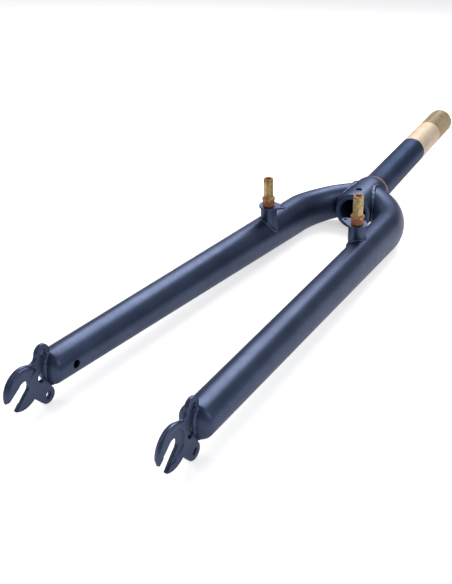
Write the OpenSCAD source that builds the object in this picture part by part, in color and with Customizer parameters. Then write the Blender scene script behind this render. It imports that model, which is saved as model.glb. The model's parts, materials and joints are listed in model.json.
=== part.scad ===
// Rigid bicycle fork with a unicrown: two swaged steel blades bend inwards and
// are welded to a short crown sleeve on the steerer. It lies on its back.
// Origin: centre of the crown race seat. +Y runs up the steerer, +Z is the front.
// left and right are the rider's: the rider's left is +X.

/* [Steerer] */
// Outer diameter of the steerer tube
steerer_d = 28.6; // [27.5:0.1:29.6]
// Bore of the steerer tube, for a quill stem
steerer_bore_d = 25.4; // [22.2:0.1:26]
// Height of the steerer above the crown race seat
steerer_h = 227.5; // [190:0.5:260]
// Length of the thread at the top of the steerer
thread_h = 48.5; // [30:0.5:60]
// Width of the keyway along the back of the thread
keyway_w = 3; // [2:0.1:4]
// Depth of the keyway
keyway_depth = 0.8; // [0.5:0.1:1]
// Chamfer at the top rim of the steerer
steerer_chamfer = 0.6; // [0.3:0.1:0.9]
// How far the steerer's foot stands out from the tube above it
foot_step = 0.2; // [0.1:0.05:0.3]
// Height of the taper from the foot to the tube, above the race seat
foot_taper_h = 1; // [0.6:0.1:2]

/* [Crown] */
// Wall of the sleeve that carries the blades, round the steerer's foot
sleeve_wall = 3.5; // [3:0.1:4.2]
// How far the shoulder stands in from the sleeve, just below the race seat
shoulder_step = 1.3; // [0.8:0.1:2]
// Height over which the shoulder widens to the sleeve
shoulder_h = 7; // [4:0.5:10]
// Length of the sleeve below the race seat
sleeve_len = 52; // [50.5:0.5:56]
// Chamfer at the sleeve's bottom rim
sleeve_chamfer = 1; // [0.5:0.1:1.5]
// Diameter of the crown race seat
seat_d = 30; // [29.8:0.1:30.4]
// Height of the crown race seat
seat_h = 4; // [3:0.5:6]
// Diameter of the hole through the crown, front to back
crown_hole_d = 6; // [5:0.1:7]
// Distance of that hole below the race seat
crown_hole_down = 38; // [34:0.5:42]

/* [Stance] */
// Distance from the race seat to the axle, along the steerer
axle_down = 437.2; // [410:0.1:460]
// Rake: how far the axle sits in front of the steerer's axis
rake = 44.1; // [40:0.1:50]
// Width between the dropouts, for the front hub
hub_w = 100; // [98:0.5:104]

/* [Blades] */
// Blade diameter at the dropout end
blade_tip_d = 22.6; // [21:0.1:24]
// Blade width, side to side, where the bend starts
blade_w = 27; // [25:0.1:29]
// Blade depth, front to back, where the bend starts
blade_depth = 36.8; // [34:0.1:38]
// Blade width at the crown
blade_crown_w = 26.6; // [25:0.1:29]
// How far the sleeve stands out in front of the blades and behind them
crown_margin = 2; // [1.6:0.1:3]
// Wall of the blade's tube
blade_wall = 1.4; // [1:0.1:2]
// Distance below the race seat at which the blades' axes meet in the crown
blade_top_down = 14.9; // [13:0.1:18]
// Radius of the bend, on the blade's axis
bend_r = 80; // [70:1:92]
// Angle of the straight part towards the centre plane
blade_lean = 1.6; // [1:0.1:2.2]
// How far the blades' tops sit behind the steerer's axis
crown_setback = 0.8; // [0:0.1:1.4]
// Share of the bend over which the blade's forward slope runs out
slope_run = 0.6; // [0.5:0.05:1]
// Distance of the blade's end above the axle
blade_end_up = 24.7; // [24:0.1:26]
// Distance of the blade's end behind the axle
blade_end_back = 1.5; // [0.5:0.1:3]
// Length of the dome that closes the blade's end
dome_len = 6; // [4:0.5:7]
// Diameter of the vent hole on the blade's inner side
vent_d = 5.6; // [4:0.1:6.5]
// Distance of the vent hole above the axle
vent_up = 36; // [35:0.5:50]

/* [Dropouts] */
// Thickness of the dropout plate
plate_t = 3.3; // [3:0.1:4.5]
// Height of the pad that thickens the hook on its inner face
pad_h = 1.3; // [0.6:0.1:1.6]
// Width of the plain rim between that pad and the hook's edge
pad_rim = 0.9; // [0.5:0.1:1.5]
// Width of the axle slot at its seat
slot_w = 10; // [9.2:0.1:11]
// Width of the slot at its mouth
mouth_w = 12; // [10.4:0.1:13]
// Angle of the slot's mouth, turned back from straight down
slot_angle = 33; // [20:1:38]
// Radius of the hook round the slot
hook_r = 14.3; // [13.5:0.1:15.5]
// Distance of the hook's centre in front of the slot's seat
hook_up = 0.3; // [0:0.1:1]
// Distance of the hook's centre behind the slot's seat
hook_back = 0.8; // [0:0.1:1.6]
// Radius of the recessed axle seat on the outer face
recess_r = 9.8; // [9:0.1:10.6]
// Depth of that recess
recess_depth = 0.9; // [0.3:0.1:1.2]
// Outer radius of the eyelets
eyelet_r = 5.9; // [5.4:0.1:6.6]
// Drilled diameter of the eyelets' threads
eyelet_hole_d = 4.2; // [4:0.1:5]
// Radius of the hollow between the hook and the front eyelet
hollow_r = 4; // [3:0.1:5]
// Diameter of the lightening hole between the eyelets
light_hole_d = 6.4; // [5:0.1:8]
// Length of the plate's tab inside the blade
tab_len = 8; // [5:0.5:8.5]

/* [Brake bosses] */
// Distance of the brake bosses below the race seat
boss_down = 146.6; // [140:0.5:152]
// How far each boss axis stands in from the blade's axis at its foot
boss_in = 12.65; // [10.95:0.05:13.95]
// Distance of the boss faces in front of the steerer's axis
boss_front = 40.2; // [38:0.1:42]
// Outer diameter of the boss
boss_d = 14; // [13:0.1:15]
// Diameter of the round part of the spring plate
spring_plate_d = 16.6; // [15.4:0.1:18]
// Thickness of the spring plate
spring_plate_t = 1.8; // [1.2:0.1:2.4]
// Distance of the spring hole from the boss axis
spring_hole_out = 11.5; // [10.5:0.1:12.5]
// Diameter of the spring hole
spring_hole_d = 2.8; // [2:0.1:3.2]
// Metal left round the spring hole, at the ear's end
ear_edge = 1.8; // [1.2:0.1:2.4]
// Angle of the spring hole, turned up from the centre plane
spring_hole_angle = 12; // [0:1:40]

/* [Brake studs] */
// Diameter of the pivot that the brake arm turns on
pivot_d = 8.2; // [7.8:0.1:8.4]
// Length of the pivot
pivot_len = 16.2; // [14:0.1:18]
// Diameter of the stud's flange
flange_d = 11; // [10.6:0.1:12]
// Thickness of the flange at its rim
flange_t = 1.8; // [1.2:0.1:2.4]
// Height of the bevel from the flange to the pivot
bevel_h = 1.2; // [0.8:0.1:1.6]
// Diameter of the stud's foot, below the flange
foot_d = 10.2; // [9.4:0.1:10.4]
// Height of the foot
foot_h = 5; // [4:0.1:6]
// Diameter of the shank inside the boss
shank_d = 8; // [7:0.1:9]
// Length of the shank
shank_len = 9; // [6:0.5:10]
// Drilled diameter of the thread in the pivot's end
stud_hole_d = 5; // [4.2:0.1:5.6]
// Depth of that hole
stud_hole_depth = 14; // [10:0.5:18]
// Distance of the groove below the pivot's end
groove_down = 2.6; // [2:0.1:4]

/* [Welds] */
// Radius of the bead between blade and sleeve
crown_bead_r = 2.2; // [1.6:0.1:2.6]
// Radius of the bead round a brake boss
boss_bead_r = 1.5; // [1:0.1:1.9]
// Radius of the bead between blade and dropout
dropout_bead_r = 1.6; // [1.2:0.1:2]

/* [Hidden] */
left = 1;
right = -1;
$fn = 96;
cut = 0.5;
paint = "#35435f";
bare_steel = "#cdb79d";
zinc = "#a08a5c";
blade_sides = 32;
cavity_sides = 24;
bend_rings = 11;
bead_sides = 12;
// Share of a round's radius by which its chords fall short, made good in the cuts
chord = 1 / cos(180 / $fn);

// The sleeve is bored to the steerer's foot
base_d = steerer_d + 2 * foot_step;
sleeve_d = base_d + 2 * sleeve_wall;
blade_crown_depth = sleeve_d - 2 * crown_margin;
blade_end_y = blade_end_up - axle_down;
blade_end_x = hub_w / 2 + pad_h + plate_t / 2;
blade_end_z = rake - blade_end_back;
boss_x = blade_end_x - boss_in;
// The bend ends inside the steerer, where the sleeve's cut removes the rest
top_x = -1;
top_y = -blade_top_down;
// Way that the bend covers towards the centre plane, from the straight part's line
bend_way = blade_end_x - (top_y - blade_end_y) * tan(blade_lean) - top_x;
top_lean = blade_lean + acos(1 - bend_way * cos(blade_lean) / bend_r);
bend_h = bend_r * (sin(top_lean) - sin(blade_lean));
bend_y = top_y - bend_h;
straight_h = bend_y - blade_end_y;
bend_x = blade_end_x - straight_h * tan(blade_lean);
// Forward slope that runs out in the bend and brings the blade's axis to the crown
slope = (blade_end_z + crown_setback) / (straight_h + bend_h * slope_run * 2 / 3);
bend_z = blade_end_z - slope * straight_h;
// Highest place of a blade at the sleeve, clear of the race seat
blade_limit_y = -crown_bead_r - 0.3;

// Share of the bend that lies below the height y
function bend_share(y) = max(0, (y - bend_y) / bend_h);
// The same for the stretch where the forward slope runs out
function slope_share(y) = min(1, bend_share(y) / slope_run);
// Share of the straight part that lies below the height y
function straight_share(y) = min(1, max(0, (y - blade_end_y) / straight_h));
// Angle of the blade's axis from the steerer's, seen from the front
function lean(y) = y < bend_y ? blade_lean : asin(sin(blade_lean) + (y - bend_y) / bend_r);
// The blade's axis at the height y
function axis_x(y) = y < bend_y
    ? bend_x - (y - bend_y) * tan(blade_lean)
    : bend_x - bend_r * (cos(blade_lean) - cos(lean(y)));
function axis_z(y) = y < bend_y
    ? bend_z - slope * (y - bend_y)
    : bend_z - slope * bend_h * slope_run * (slope_share(y) - pow(slope_share(y), 3) / 3);
function axis_slope(y) = slope * (1 - pow(slope_share(y), 2));
// Half the blade's width and depth at the height y
function half_w(y) = (blade_tip_d + (blade_w - blade_tip_d) * straight_share(y)
    + (blade_crown_w - blade_w) * bend_share(y)) / 2;
function half_depth(y) = (blade_tip_d + (blade_depth - blade_tip_d) * straight_share(y)
    + (blade_crown_depth - blade_depth) * bend_share(y)) / 2;
function unit(v) = v / norm(v);
// A point of the blade's oval section at the height y, scaled about its axis
function blade_point(y, angle, inset, scale) =
    let (along = unit([-tan(lean(y)), 1, -axis_slope(y)]),
        side = [cos(lean(y)), sin(lean(y)), 0],
        front = cross(side, along))
    [axis_x(y), y, axis_z(y)]
        + side * (half_w(y) - inset) * scale * cos(angle)
        + front * (half_depth(y) - inset) * scale * sin(angle);

// Heights and scales of a blade's sections: the dome, then the tube
dome_shares = [0.98, 0.9, 0.75, 0.55, 0.3];
dome_rings = [for (q = dome_shares) [blade_end_y - dome_len * q, sqrt(1 - q * q)]];
function bend_ring_y(share) =
    bend_y + bend_r * (sin(blade_lean + (top_lean - blade_lean) * share) - sin(blade_lean));
tube_rings = [for (i = [0:bend_rings]) [bend_ring_y(i / bend_rings), 1]];
skin_rings = concat(dome_rings, [[blade_end_y, 1]], tube_rings);
cavity_rings = concat([[blade_end_y + blade_wall * 2, 1]], tube_rings);

// The fork on its back lies on the rear eyelets and on the bends' starts, or on
// the sleeve's rim if that is lower
eyelet_back = [18.2, -18.1];
eyelet_front = [20.3, 12.2];
light_hole = [15.9, -2.6];
hook_centre = [hook_up, -hook_back];
notch_back = [6.9, -12.8];
neck_step = 0.4;
// How far the hollow's ends run into the round forms on both sides
hollow_sink = 0.06;
slot_step = 0.2;
eyelet_y = eyelet_back[0] - axle_down;
eyelet_z = eyelet_back[1] + rake;
function tilt_on(y, z, r) =
    let (run = y - eyelet_y, drop = eyelet_z - z)
    atan(drop / run) + asin((r - eyelet_r) / norm([run, drop]));
rest_tilt = max(tilt_on(bend_y, bend_z, blade_depth / 2),
    tilt_on(sleeve_chamfer - sleeve_len, -sleeve_d / 2, 0));

// Lays the fork on its back
module lay() {
    rotate([rest_tilt, 0, 0]) children();
}

// Turns a shape that stands on Z along the steerer's axis, Z becoming Y
module along_steerer() {
    rotate([-90, 0, 0]) children();
}

// Places a shape drawn in the dropout's plane: x up the fork, y to the front
module on_dropout(side) {
    mirror([side < 0 ? 1 : 0, 0, 0])
        translate([hub_w / 2 + pad_h, -axle_down, rake])
            rotate([90, 0, 90]) children();
}

// Places a shape on a brake boss, Z standing out of its face
module on_boss(side) {
    mirror([side < 0 ? 1 : 0, 0, 0])
        translate([boss_x, -boss_down, boss_front]) children();
}

// Closed skin through a list of rings, each with the same number of points
module loft(rings) {
    n = len(rings[0]);
    last = (len(rings) - 1) * n;
    sides = [for (r = [0:len(rings) - 2]) for (i = [0:n - 1])
        let (a = r * n + i, b = r * n + (i + 1) % n)
        each [[a, b, a + n], [b, b + n, a + n]]];
    caps = [[for (i = [n - 1:-1:0]) i], [for (i = [0:n - 1]) last + i]];
    polyhedron([for (ring = rings) each ring], concat(sides, caps));
}

module blade_form(sections, sides, inset) {
    loft([for (s = sections) [for (i = [0:sides - 1])
        blade_point(s[0], 360 * i / sides, inset, s[1])]]);
}

module crown_hole() {
    translate([0, -crown_hole_down, 0]) cylinder(h = sleeve_d * 2, d = crown_hole_d, center = true);
}

module steerer_tube() {
    color(bare_steel) lay() difference() {
        along_steerer() rotate_extrude() polygon([
            [steerer_bore_d / 2, -sleeve_len],
            [base_d / 2, -sleeve_len],
            [base_d / 2, seat_h],
            [steerer_d / 2, seat_h + foot_taper_h],
            [steerer_d / 2, steerer_h - steerer_chamfer],
            [steerer_d / 2 - steerer_chamfer, steerer_h],
            [steerer_bore_d / 2, steerer_h]]);
        translate([-keyway_w / 2, steerer_h - thread_h, -steerer_d / 2 - cut])
            cube([keyway_w, thread_h + cut, keyway_depth + cut]);
        crown_hole();
    }
}

module crown_sleeve() {
    color(paint) lay() difference() {
        along_steerer() rotate_extrude() polygon([
            [base_d / 2, -sleeve_len],
            [sleeve_d / 2 - sleeve_chamfer, -sleeve_len],
            [sleeve_d / 2, sleeve_chamfer - sleeve_len],
            [sleeve_d / 2, -shoulder_h],
            [sleeve_d / 2 - shoulder_step, 0],
            [seat_d / 2, 0],
            [seat_d / 2, seat_h],
            [base_d / 2, seat_h]]);
        crown_hole();
    }
}

module blade(side) {
    color(paint) lay() mirror([side < 0 ? 1 : 0, 0, 0]) difference() {
        blade_form(skin_rings, blade_sides, 0);
        blade_form(cavity_rings, cavity_sides, blade_wall);
        along_steerer() translate([0, 0, -2 * sleeve_len]) cylinder(h = 3 * sleeve_len, d = sleeve_d);
        translate([-sleeve_d, blade_limit_y, -sleeve_d]) cube(2 * sleeve_d);
        translate([blade_end_x - plate_t / 2, blade_end_y - 2 * dome_len, blade_end_z - blade_tip_d])
            cube([plate_t, 2 * dome_len + tab_len, 2 * blade_tip_d]);
        translate([blade_end_x, vent_up - axle_down, axis_z(vent_up - axle_down)])
            rotate([0, -90, 0]) cylinder(h = blade_tip_d, d = vent_d);
    }
}

// Where a line from the point touches a circle, on the side that turn gives
function touch(from, centre, r, turn) =
    let (to = centre - from, reach = sqrt(to * to - r * r),
        angle = atan2(to[1], to[0]) + turn * asin(r / norm(to)))
    from + reach * [cos(angle), sin(angle)];

// Centre of the circle of radius r that touches both round forms, in front of them
function hollow_centre(a, ra, b, rb, r) =
    let (span = norm(b - a), along = (pow(ra + r, 2) - pow(rb + r, 2) + span * span) / (2 * span),
        out = sqrt(pow(ra + r, 2) - along * along), way = (b - a) / span)
    a + along * way + out * [-way[1], way[0]];

// Points of the hollow between the hook and the front eyelet
function hollow_points(steps) =
    let (c = hollow_centre(hook_centre, hook_r - hollow_sink, eyelet_front, eyelet_r - hollow_sink, hollow_r),
        from = hook_centre - c, to = eyelet_front - c,
        start = atan2(from[1], from[0]), end = atan2(to[1], to[0]))
    [for (i = [0:steps]) let (angle = start + (end - start) * i / steps)
        c + hollow_r * [cos(angle), sin(angle)]];

// Outline of the dropout plate, with the slot's seat at its origin
module dropout_outline() {
    neck_half = blade_tip_d / 2 - neck_step;
    translate(hook_centre) circle(r = hook_r);
    for (spot = [eyelet_front, eyelet_back]) translate(spot) circle(r = eyelet_r);
    polygon([
        hook_centre, each hollow_points(8), eyelet_front,
        [blade_end_up, neck_half - blade_end_back],
        [blade_end_up, -neck_half - blade_end_back],
        eyelet_back, touch(notch_back, eyelet_back, eyelet_r, -1), notch_back]);
    translate([blade_end_up, -blade_end_back]) rotate(-atan(slope))
        translate([-tab_len / 2, -neck_half]) square([1.5 * tab_len, 2 * neck_half]);
}

// Cuts the axle's seat and the mouth, which widens down and to the back
module slot_cut() {
    cylinder(h = 4 * plate_t, d = slot_w, center = true);
    rotate(180 + slot_angle) translate([0, 0, -2 * plate_t]) linear_extrude(4 * plate_t) polygon([
        [0, slot_step - slot_w / 2], [2 * hook_r, -mouth_w / 2],
        [2 * hook_r, mouth_w / 2], [0, slot_w / 2 - slot_step]]);
}

// Thickening of the hook's front arm, on the inner face
module hook_pad() {
    difference() {
        translate([hook_centre[0], hook_centre[1], -pad_h])
            cylinder(h = pad_h + cut, r1 = hook_r - pad_rim - pad_h, r2 = hook_r - pad_rim + cut);
        rotate(slot_angle) translate([-2 * hook_r, -2 * hook_r, -2 * pad_h])
            cube([4 * hook_r, 2 * hook_r, 2 * pad_h]);
    }
}

module dropout(side) {
    color(paint) lay() on_dropout(side) difference() {
        union() {
            linear_extrude(plate_t) dropout_outline();
            hook_pad();
        }
        slot_cut();
        translate([0, 0, plate_t - recess_depth]) cylinder(h = plate_t, r = recess_r);
        for (spot = [eyelet_front, eyelet_back]) translate([spot[0], spot[1], -plate_t])
            cylinder(h = 3 * plate_t, d = eyelet_hole_d);
        translate([light_hole[0], light_hole[1], -plate_t]) cylinder(h = 3 * plate_t, d = light_hole_d);
    }
}

module brake_boss(side) {
    color(paint) lay() mirror([side < 0 ? 1 : 0, 0, 0]) difference() {
        translate([boss_x, -boss_down, 0]) union() {
            translate([0, 0, axis_z(-boss_down)])
                cylinder(h = boss_front - spring_plate_t / 2 - axis_z(-boss_down), d = boss_d);
            translate([0, 0, boss_front - spring_plate_t])
                linear_extrude(spring_plate_t, $fn = 48) hull() {
                    circle(d = spring_plate_d);
                    rotate(180 - spring_hole_angle) translate([spring_hole_out, 0])
                        circle(r = spring_hole_d / 2 + ear_edge);
                }
        }
        blade_form(skin_rings, blade_sides, 0);
        translate([boss_x, -boss_down, boss_front - shank_len]) cylinder(h = 2 * shank_len, d = shank_d);
        translate([boss_x, -boss_down, 0]) rotate(180 - spring_hole_angle)
            translate([spring_hole_out, 0, 0]) cylinder(h = 2 * boss_front, d = spring_hole_d);
    }
}

module brake_stud(side) {
    top = foot_h + flange_t + bevel_h + pivot_len;
    color(zinc) lay() on_boss(side) difference() {
        union() {
            translate([0, 0, -shank_len]) cylinder(h = shank_len, d = shank_d);
            rotate_extrude() polygon([
                [0, 0], [foot_d / 2, 0], [foot_d / 2, foot_h],
                [flange_d / 2, foot_h], [flange_d / 2, foot_h + flange_t],
                [pivot_d / 2, foot_h + flange_t + bevel_h],
                [pivot_d / 2, top - groove_down - 0.8],
                [pivot_d / 2 - 0.4, top - groove_down - 0.4],
                [pivot_d / 2, top - groove_down],
                [pivot_d / 2, top - 0.5], [pivot_d / 2 - 0.5, top], [0, top]]);
        }
        translate([0, 0, top - stud_hole_depth]) cylinder(h = 2 * stud_hole_depth, d = stud_hole_d);
    }
}

// Lumpy bead of weld metal: spheres in a chain along the points
module bead(points, r) {
    for (i = [0:len(points) - 2]) hull() {
        translate(points[i]) sphere(r = r * (1 + 0.08 * sin(i * 137)), $fn = bead_sides);
        translate(points[i + 1]) sphere(r = r * (1 + 0.08 * sin((i + 1) * 137)), $fn = bead_sides);
    }
}

// Height at which the line of the blade's skin at this angle enters the sleeve
function seam_y(angle, low, high, steps) =
    let (mid = (low + high) / 2, p = blade_point(mid, angle, 0, 1))
    steps == 0 ? mid
    : norm([p[0], p[2]]) > sleeve_d / 2 && p[0] > 0
        ? seam_y(angle, mid, high, steps - 1)
        : seam_y(angle, low, mid, steps - 1);
function seam_point(angle) =
    let (p = blade_point(seam_y(angle, bend_y, top_y, 12), angle, 0, 1))
    [p[0], min(p[1], blade_limit_y), p[2]];

module crown_weld(side) {
    steps = 20;
    color(paint) lay() mirror([side < 0 ? 1 : 0, 0, 0]) difference() {
        bead([for (i = [0:steps]) seam_point(360 * i / steps)], crown_bead_r);
        blade_form(skin_rings, blade_sides, 0);
        along_steerer() translate([0, 0, -2 * sleeve_len])
            cylinder(h = 3 * sleeve_len, r = sleeve_d / 2 * chord + 0.01);
    }
}

// Height of the blade's front over a point of the brake boss's rim
function boss_seam(angle) =
    let (x = boss_x + boss_d / 2 * cos(angle),
        y = -boss_down + boss_d / 2 * sin(angle),
        share = (x - axis_x(y)) / half_w(y))
    [x, y, axis_z(y) + half_depth(y) * sqrt(1 - share * share)];

module boss_weld(side) {
    steps = 14;
    color(paint) lay() mirror([side < 0 ? 1 : 0, 0, 0]) difference() {
        bead([for (i = [0:steps]) boss_seam(360 * i / steps)], boss_bead_r);
        blade_form(skin_rings, blade_sides, 0);
        translate([boss_x, -boss_down, 0])
            cylinder(h = boss_front, r = boss_d / 2 * chord + 0.01);
    }
}

// Edge of the blade's dome on the plate's face, at this share of the blade's width
function dome_seam(share, face) =
    let (r = blade_tip_d / 2, z = share * r,
        q = sqrt(max(0, 1 - (z * z + plate_t * plate_t / 4) / (r * r))),
        y = blade_end_y - dome_len * q)
    [blade_end_x + face * plate_t / 2, y, axis_z(y) + z];

module dropout_weld(side) {
    shares = [for (i = [-5:5]) 0.96 * sin(18 * i)];
    color(paint) lay() mirror([side < 0 ? 1 : 0, 0, 0]) difference() {
        for (face = [-1, 1]) bead([for (s = shares) dome_seam(s, face)], dropout_bead_r);
        blade_form(skin_rings, blade_sides, 0);
        translate([blade_end_x - plate_t / 2, blade_end_y - 4 * dome_len, blade_end_z - blade_tip_d])
            cube([plate_t, 8 * dome_len, 2 * blade_tip_d]);
    }
}

steerer_tube();
crown_sleeve();
blade(left);  // left_blade
blade(right);  // right_blade
dropout(left);  // left_dropout
dropout(right);  // right_dropout
brake_boss(left);  // left_brake_boss
brake_boss(right);  // right_brake_boss
brake_stud(left);  // left_brake_stud
brake_stud(right);  // right_brake_stud
crown_weld(left);  // left_crown_weld
crown_weld(right);  // right_crown_weld
boss_weld(left);  // left_boss_weld
boss_weld(right);  // right_boss_weld
dropout_weld(left);  // left_dropout_weld
dropout_weld(right);  // right_dropout_weld
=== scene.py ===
"""A steel bicycle fork on its back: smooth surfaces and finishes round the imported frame.

Shapes are worked out in millimetres in the fork's own directions: x to the
rider's left, y up the steerer and z to the front, from the crown race seat.
"""
import json
import math

import bmesh
import bpy
import numpy as np
from mathutils import Matrix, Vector
from mathutils.geometry import delaunay_2d_cdt


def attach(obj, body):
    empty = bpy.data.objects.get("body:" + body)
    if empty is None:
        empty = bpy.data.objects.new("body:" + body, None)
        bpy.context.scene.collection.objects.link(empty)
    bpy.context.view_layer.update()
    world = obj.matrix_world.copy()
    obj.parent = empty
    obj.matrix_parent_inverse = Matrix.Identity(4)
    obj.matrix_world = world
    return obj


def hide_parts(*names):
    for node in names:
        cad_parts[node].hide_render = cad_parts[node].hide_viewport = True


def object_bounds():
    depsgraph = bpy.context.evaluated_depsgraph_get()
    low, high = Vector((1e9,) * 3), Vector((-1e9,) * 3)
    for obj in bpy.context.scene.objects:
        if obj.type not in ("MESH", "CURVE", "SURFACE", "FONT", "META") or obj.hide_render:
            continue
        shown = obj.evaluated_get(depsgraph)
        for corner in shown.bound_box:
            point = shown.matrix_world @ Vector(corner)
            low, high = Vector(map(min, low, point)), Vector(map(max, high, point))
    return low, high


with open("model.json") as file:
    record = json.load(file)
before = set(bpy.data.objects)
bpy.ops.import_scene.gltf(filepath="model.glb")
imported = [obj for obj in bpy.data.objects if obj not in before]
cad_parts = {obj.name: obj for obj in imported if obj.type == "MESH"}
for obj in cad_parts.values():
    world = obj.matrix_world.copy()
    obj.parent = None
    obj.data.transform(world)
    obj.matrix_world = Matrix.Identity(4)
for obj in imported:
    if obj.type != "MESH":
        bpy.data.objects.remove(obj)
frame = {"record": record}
CAD_BOX = [list(corner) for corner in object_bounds()]

MM = 0.001
TURN = 2 * math.pi
mounts = {m["name"]: m for m in frame["record"]["mounts"]}
ACROSS = np.array([1.0, 0.0, 0.0])
UP = np.array(mounts["crown_race_seat"]["axis"], float)
FRONT = np.cross(ACROSS, UP)
FLOOR_Z = CAD_BOX[0][2]

# Steerer and crown
STEERER_R = 14.3
STEERER_FOOT_R, FOOT_TAPER_H = 14.5, 1.0
BORE_R = 12.7
STEERER_TOP = 227.5
THREAD_FROM = 179.0
THREAD_PITCH = 25.4 / 26
THREAD_DEPTH = 0.5
KEYWAY_HALF, KEYWAY_DEPTH = 1.5, 0.8
PAINT_TO = 121.0
SLEEVE_R = 18.0
SHOULDER_R = 16.7
SHOULDER_H = 7.0
SLEEVE_LEN = 52.0
SEAT_R = 15.0
SEAT_H = 4.0
CROWN_HOLE_R = 3.0
CROWN_HOLE_DOWN = 38.0

# Blades
AXLE_DOWN = 437.2
RAKE = 44.1
PLATE_T = 3.3
PAD_H = 1.3
HUB_HALF = 50.0
BLADE_END_UP, BLADE_END_BACK = 24.7, 1.5
BLADE_END = np.array([HUB_HALF + PAD_H + PLATE_T / 2, BLADE_END_UP - AXLE_DOWN, RAKE - BLADE_END_BACK])
TIP_R = 11.3
BEND_HALF_W, BEND_HALF_DEPTH = 13.5, 18.4
CROWN_HALF_W, CROWN_HALF_DEPTH = 13.3, 16.0
BEND_R = 80.0
LEAN = math.radians(1.6)
SLOPE_RUN = 0.6
SETBACK = 0.8
TOP_X, TOP_Y = -1.0, -14.9
DOME = 6.0
WALL = 1.4
VENT_R = 2.8
VENT_UP = 36.0
BEND_WAY = BLADE_END[0] - (TOP_Y - BLADE_END[1]) * math.tan(LEAN) - TOP_X
TOP_LEAN = LEAN + math.acos(1 - BEND_WAY * math.cos(LEAN) / BEND_R)
BEND_H = BEND_R * (math.sin(TOP_LEAN) - math.sin(LEAN))
BEND_Y = TOP_Y - BEND_H
STRAIGHT = BEND_Y - BLADE_END[1]
BEND_X = BLADE_END[0] - STRAIGHT * math.tan(LEAN)
SLOPE = (BLADE_END[2] + SETBACK) / (STRAIGHT + BEND_H * SLOPE_RUN * 2 / 3)
BEND_Z = BLADE_END[2] - SLOPE * STRAIGHT

# Dropouts, in their plane: u up the fork and v to the front, from the axle
HOOK_AT, HOOK_R = np.array([0.3, -0.8]), 14.3
EYELET_FRONT, EYELET_BACK, EYELET_R = np.array([20.3, 12.2]), np.array([18.2, -18.1]), 5.9
EYELET_HOLE_R = 2.1
LIGHT_HOLE, LIGHT_HOLE_R = np.array([15.9, -2.6]), 3.2
NOTCH = np.array([6.9, -12.8])
HOLLOW_R = 4.0
SLOT_TURN = math.radians(213)
AXLE_SEAT_R, MOUTH_HALF = 5.0, 6.0
SLOT_STEP = 0.2
NECK_HALF = TIP_R - 0.4
TAB = 8.0
RECESS_R, RECESS = 9.8, 0.9
PAD_R = 13.4
FRONT_EDGE, HOLLOW_EDGE, BACK_EDGE, SLOT_EDGE, TAB_EDGE = 1.5, 1.3, 1.1, 0.35, 0.4
EYELET_SINK, LIGHT_HOLE_SINK = 0.55, 0.3

# Weld beads: radius, and how deep their middle lies in the corner
CROWN_BEAD_R, CROWN_BEAD_SINK = 2.8, 0.9
BOSS_BEAD_R, BOSS_BEAD_SINK = 2.0, 0.5
DROPOUT_BEAD_R = 2.2
DROPOUT_BEAD_SHIFT = np.array([-0.7, 1.1, 0])

# Brake bosses and studs
BOSS = np.array([40.3, -146.6, 40.2])
BOSS_R = 7.0
SPRING_PLATE_R, SPRING_PLATE_T = 8.3, 1.8
SPRING_HOLE_OUT, SPRING_HOLE_R, SPRING_HOLE_TURN = 11.5, 1.4, math.radians(12)
FOOT_R, FOOT_H = 5.1, 5.0
FLANGE_R, FLANGE_T = 5.5, 1.8
BEVEL_H = 1.2
PIVOT_R, PIVOT_LEN = 4.1, 16.2
STUD_HOLE_R = 2.5

# How brightly the floor shows to what looks at it, over the light that it gets
FLOOR_GLOW = 0.55
FLOOR_HALF = 30.0

# Camera, found together with the sizes above, and the photograph's frame
CAMERA_AT = (236.0, -675.4, 322.1)
CAMERA_LOOKS = (-0.4437, 0.7260, -0.5255)
CAMERA_RIGHT = (0.8651, 0.5000, -0.0396)
FOCAL_PX = 764.2
FRAME_H_PX = 584
SENSOR = 36.0


def lay(points):
    """Fork millimetres to frame metres: along ACROSS, UP and FRONT."""
    p = np.asarray(points, float) * MM
    return p[..., :1] * ACROSS + p[..., 1:2] * UP + p[..., 2:3] * FRONT


def grid_faces(rows, cols, ring=True, loop=False, first=0):
    """Quads of a grid of points; ring joins the last column, loop the last row."""
    r = np.arange(rows if loop else rows - 1)[:, None]
    c = np.arange(cols if ring else cols - 1)[None, :]
    a = r * cols + c
    b = r * cols + (c + 1) % cols
    up = ((r + 1) % rows - r) * cols
    return (np.stack([a, b, b + up, a + up], -1).reshape(-1, 4) + first).tolist()


def fan_faces(ring, pole, flip=False):
    """Triangles from each edge of a ring of vertex numbers to a pole."""
    ring = list(ring)
    pairs = zip(ring, ring[1:] + ring[:1])
    return [(b, a, pole) if flip else (a, b, pole) for a, b in pairs]


def new_object(name, data):
    """Object that holds the data, linked to the scene."""
    made = bpy.data.objects.new(name, data)
    bpy.context.scene.collection.objects.link(made)
    return made


def raw_piece(name, points, faces, mirror=False):
    """Object at the origin from fork points, on the rider's right where mirror is set."""
    points = np.asarray(points, float).reshape(-1, 3)
    if mirror:
        points = points * [-1, 1, 1]
    mesh = bpy.data.meshes.new(name)
    mesh.from_pydata(lay(points).tolist(), [], faces)
    mesh.validate()
    mesh.update()
    return new_object(name, mesh)


def mesh_piece(name, points, faces, finish, nodes, mirror=False, crease=40):
    """Finished piece from fork points, facing outwards, standing for CAD nodes."""
    piece = raw_piece(name, points, faces, mirror)
    face_outwards(piece)
    return dress(piece, finish, nodes, crease)


def face_outwards(piece):
    """Merges doubled points and turns every face to the outside."""
    bm = bmesh.new()
    bm.from_mesh(piece.data)
    bmesh.ops.remove_doubles(bm, verts=bm.verts, dist=1e-6)
    bmesh.ops.recalc_face_normals(bm, faces=bm.faces)
    bm.to_mesh(piece.data)
    bm.free()


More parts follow.
